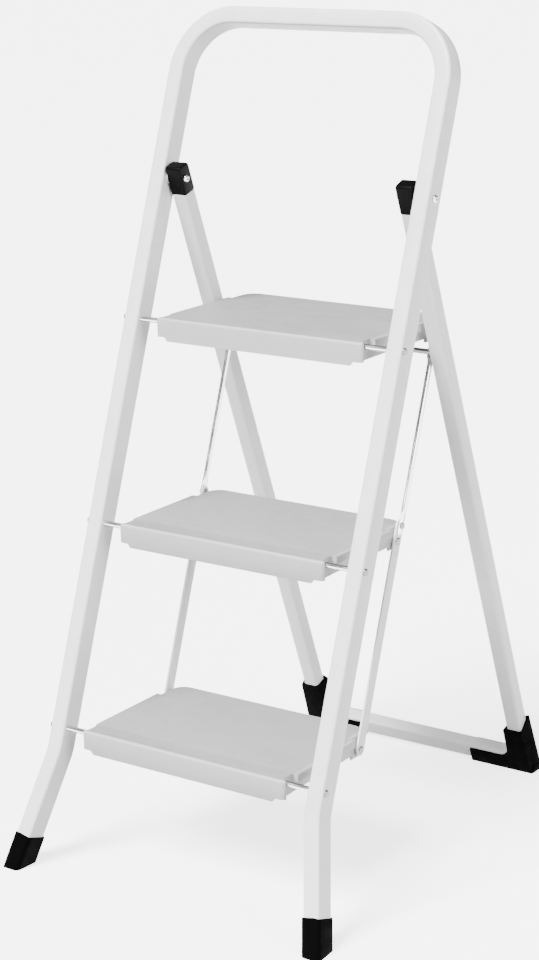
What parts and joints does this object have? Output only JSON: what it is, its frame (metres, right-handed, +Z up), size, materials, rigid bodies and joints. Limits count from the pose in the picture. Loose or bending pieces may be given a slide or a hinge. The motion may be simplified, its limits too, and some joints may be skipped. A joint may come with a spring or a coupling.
{
  "type": "folding step stool",
  "caption": "Folding steel step stool with wide plastic treads, a bent-tube hand bail, a hinged rear stand and side links.",
  "frame": {"origin": "on the floor, at the middle of the open stool's footprint", "axes": "+Z up, +X across the treads, +Y from the user's side towards the rear stand"},
  "size_m": [0.4674, 0.6358, 1.0221],
  "materials": {
    "white_powder_coat": "satin white-grey powder coat on steel",
    "grey_tread_plastic": "fine-grained light grey moulded plastic",
    "black_plastic": "black moulded plastic",
    "black_rubber": "matt black moulded rubber",
    "zinc_plate": "bright zinc plate",
    "natural_nylon": "natural nylon"
  },
  "bodies": {
    "front_stand": {"front_frame": "white_powder_coat", "front_boot_left": "black_rubber", "front_boot_right": "black_rubber", "tread_rod_bottom": "zinc_plate", "tread_rod_middle": "zinc_plate", "tread_rod_top": "zinc_plate", "pivot_bolt_left": "zinc_plate", "pivot_bolt_right": "zinc_plate", "pivot_washer_left": "natural_nylon", "pivot_washer_right": "natural_nylon"},
    "rear_stand": {"rear_frame": "white_powder_coat", "rear_rod": "zinc_plate", "rear_cap_left": "black_plastic", "rear_cap_right": "black_plastic", "rear_foot_left": "black_rubber", "rear_foot_right": "black_rubber"},
    "top_step": {"tread_top": "grey_tread_plastic"},
    "middle_step": {"tread_middle": "grey_tread_plastic", "link_rivet_middle_left": "zinc_plate", "link_rivet_middle_right": "zinc_plate", "link_washer_middle_left": "natural_nylon", "link_washer_middle_right": "natural_nylon"},
    "bottom_step": {"tread_bottom": "grey_tread_plastic", "link_rivet_bottom_left": "zinc_plate", "link_rivet_bottom_right": "zinc_plate", "link_washer_bottom_left": "natural_nylon", "link_washer_bottom_right": "natural_nylon"},
    "left_link": {"link_bar_left": "white_powder_coat", "link_rod_left": "zinc_plate", "link_splice_rivet_left": "zinc_plate"},
    "right_link": {"link_bar_right": "white_powder_coat", "link_rod_right": "zinc_plate", "link_splice_rivet_right": "zinc_plate"}
  },
  "joints": [
    {"name": "rear_stand_fold", "type": "hinge", "parent": "front_stand", "child": "rear_stand", "pos_m": [0, -0.00773, 0.817], "axis": [-1, 0, 0], "range_deg": [0, 39.1]},
    {"name": "bottom_step_fold", "type": "hinge", "parent": "front_stand", "child": "bottom_step", "pos_m": [0, -0.24731, 0.1716], "axis": [1, 0, 0], "range_deg": [0, 65.5]},
    {"name": "middle_step_fold", "type": "hinge", "parent": "front_stand", "child": "middle_step", "pos_m": [0, -0.16138, 0.4116], "axis": [1, 0, 0], "range_deg": [0, 65.5]},
    {"name": "top_step_fold", "type": "hinge", "parent": "front_stand", "child": "top_step", "pos_m": [0, -0.07544, 0.6516], "axis": [1, 0, 0], "range_deg": [0, 65.5]},
    {"name": "left_link_swing", "type": "hinge", "parent": "middle_step", "child": "left_link", "pos_m": [-0.1453, -0.00338, 0.3986], "axis": [-1, 0, 0], "range_deg": [0, 65.5]},
    {"name": "right_link_swing", "type": "hinge", "parent": "middle_step", "child": "right_link", "pos_m": [0.1453, -0.00338, 0.3986], "axis": [-1, 0, 0], "range_deg": [0, 65.5]}
  ],
  "couplings": [
    {"joint": "bottom_step_fold", "follows": "rear_stand_fold", "ratio": 1.6751},
    {"joint": "middle_step_fold", "follows": "rear_stand_fold", "ratio": 1.6751},
    {"joint": "top_step_fold", "follows": "rear_stand_fold", "ratio": 1.6751},
    {"joint": "left_link_swing", "follows": "rear_stand_fold", "ratio": 1.6751},
    {"joint": "right_link_swing", "follows": "rear_stand_fold", "ratio": 1.6751}
  ]
}
